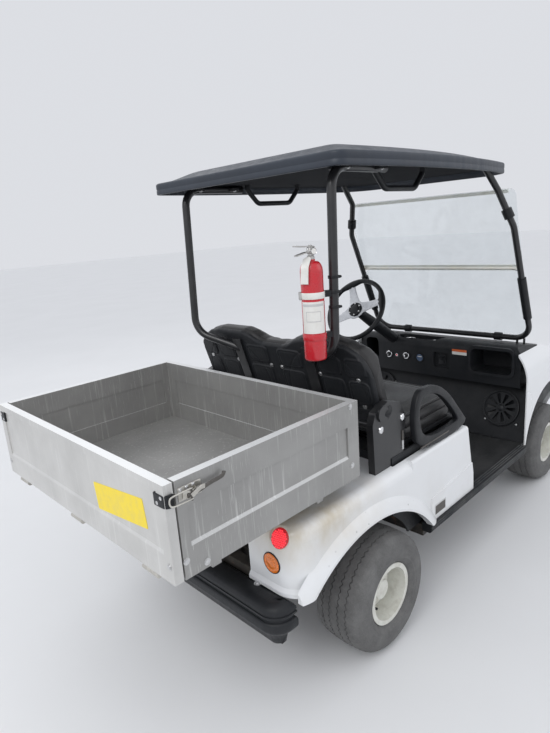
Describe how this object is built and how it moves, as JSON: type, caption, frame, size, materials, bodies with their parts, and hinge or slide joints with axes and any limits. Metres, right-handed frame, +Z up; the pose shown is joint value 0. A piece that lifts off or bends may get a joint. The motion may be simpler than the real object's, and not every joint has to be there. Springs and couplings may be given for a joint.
{
  "type": "electric utility vehicle with a cargo box",
  "caption": "Open two-seat utility vehicle with roof, fold-down windscreen, bench and an aluminium cargo box; wheels roll, front wheels steer, gate drops, bench lid lifts.",
  "frame": {"origin": "on the ground under the middle of the overall length and width", "axes": "+X forward, +Y to the left, +Z up"},
  "size_m": [2.9199, 1.192, 1.7999],
  "materials": {
    "tyre": "worn",
    "rim_paint": "satin",
    "chassis_paint": "satin",
    "spring_steel": "dull",
    "floor_rubber": "matt",
    "black_plastic": "grained",
    "grey_plastic": "grained",
    "white_body": "gloss",
    "lamp_lens": "clear",
    "black_vinyl": "satin",
    "wheel_spokes": "brushed",
    "acrylic": "clear",
    "strip_plastic": "satin",
    "red_paint": "gloss",
    "fitting_metal": "satin",
    "box_aluminium": "mill",
    "zinc": "satin",
    "red_lens": "gloss",
    "amber_lens": "gloss",
    "battery_case": "matt"
  },
  "bodies": {
    "chassis": {"armrests": "black_plastic", "battery_bank": "battery_case", "box_floor": "box_aluminium", "box_front": "box_aluminium", "box_rails": "box_aluminium", "box_side_left": "box_aluminium", "box_side_right": "box_aluminium", "box_uprights": "chassis_paint", "cross_members": "chassis_paint", "dashboard": "black_plastic", "extinguisher": "red_paint", "extinguisher_fittings": "fitting_metal", "floor_pan": "floor_rubber", "frame": "chassis_paint", "front_axle": "chassis_paint", "front_bumper": "black_plastic", "front_cowl": "white_body", "gate_hinges": "zinc", "headlamps": "lamp_lens", "instruments": "black_plastic", "kick_panel": "black_plastic", "latches": "zinc", "leaf_springs": "spring_steel", "pedals": "black_plastic", "rear_axle": "chassis_paint", "rear_body": "white_body", "rear_bumper": "black_plastic", "rear_struts": "chassis_paint", "roof_canopy": "grey_plastic", "roof_handles": "black_plastic", "seat_back_cushion": "black_vinyl", "seat_back_shell": "black_plastic", "seat_brackets": "chassis_paint", "seat_pod": "black_plastic", "sills": "black_plastic", "speaker_grilles": "black_plastic", "steering_column": "black_plastic", "tail_lamps": "red_lens", "turn_lamps": "amber_lens", "windscreen_clips": "black_plastic", "windscreen_frame": "chassis_paint", "windscreen_lower": "acrylic", "windscreen_strips": "strip_plastic", "windscreen_upper": "acrylic"},
    "wheel_front_left": {"tyre_front_left": "tyre", "rim_front_left": "rim_paint"},
    "wheel_front_right": {"tyre_front_right": "tyre", "rim_front_right": "rim_paint"},
    "wheel_rear_left": {"tyre_rear_left": "tyre", "rim_rear_left": "rim_paint"},
    "wheel_rear_right": {"tyre_rear_right": "tyre", "rim_rear_right": "rim_paint"},
    "steering_knuckle_left": {"knuckle_left": "chassis_paint"},
    "steering_knuckle_right": {"knuckle_right": "chassis_paint"},
    "hand_wheel": {"steering_wheel": "black_plastic", "steering_spokes": "wheel_spokes"},
    "cargo_gate": {"tailgate": "box_aluminium", "gate_keepers": "black_plastic"},
    "seat_lid": {"seat_pan": "black_plastic", "seat_cushion": "black_vinyl"}
  },
  "joints": [
    {"name": "knuckle_left_turn", "type": "hinge", "parent": "chassis", "child": "steering_knuckle_left", "pos_m": [1.09, 0.307, 0.224], "axis": [0, 0, 1], "range_deg": [-30, 30]},
    {"name": "knuckle_right_turn", "type": "hinge", "parent": "chassis", "child": "steering_knuckle_right", "pos_m": [1.09, -0.307, 0.224], "axis": [0, 0, 1], "range_deg": [-30, 30]},
    {"name": "wheel_front_left_roll", "type": "hinge", "parent": "steering_knuckle_left", "child": "wheel_front_left", "pos_m": [1.09, 0.437, 0.224], "axis": [0, 1, 0], "continuous": true},
    {"name": "wheel_front_right_roll", "type": "hinge", "parent": "steering_knuckle_right", "child": "wheel_front_right", "pos_m": [1.09, -0.437, 0.224], "axis": [0, 1, 0], "continuous": true},
    {"name": "wheel_rear_left_roll", "type": "hinge", "parent": "chassis", "child": "wheel_rear_left", "pos_m": [-0.61, 0.49, 0.224], "axis": [0, 1, 0], "continuous": true},
    {"name": "wheel_rear_right_roll", "type": "hinge", "parent": "chassis", "child": "wheel_rear_right", "pos_m": [-0.61, -0.49, 0.224], "axis": [0, 1, 0], "continuous": true},
    {"name": "hand_wheel_turn", "type": "hinge", "parent": "chassis", "child": "hand_wheel", "pos_m": [0.36, 0.27, 1.071], "axis": [0.8499, 0, -0.527], "range_deg": [-360, 360]},
    {"name": "cargo_gate_drop", "type": "hinge", "parent": "chassis", "child": "cargo_gate", "pos_m": [-1.45, 0, 0.713], "axis": [0, -1, 0], "range_deg": [0, 175]},
    {"name": "seat_lid_lift", "type": "hinge", "parent": "chassis", "child": "seat_lid", "pos_m": [0.046, 0, 0.694], "axis": [0, 1, 0], "range_deg": [0, 80]}
  ],
  "couplings": [
    {"joint": "knuckle_right_turn", "follows": "knuckle_left_turn", "ratio": 1},
    {"joint": "hand_wheel_turn", "follows": "knuckle_left_turn", "ratio": -12}
  ]
}
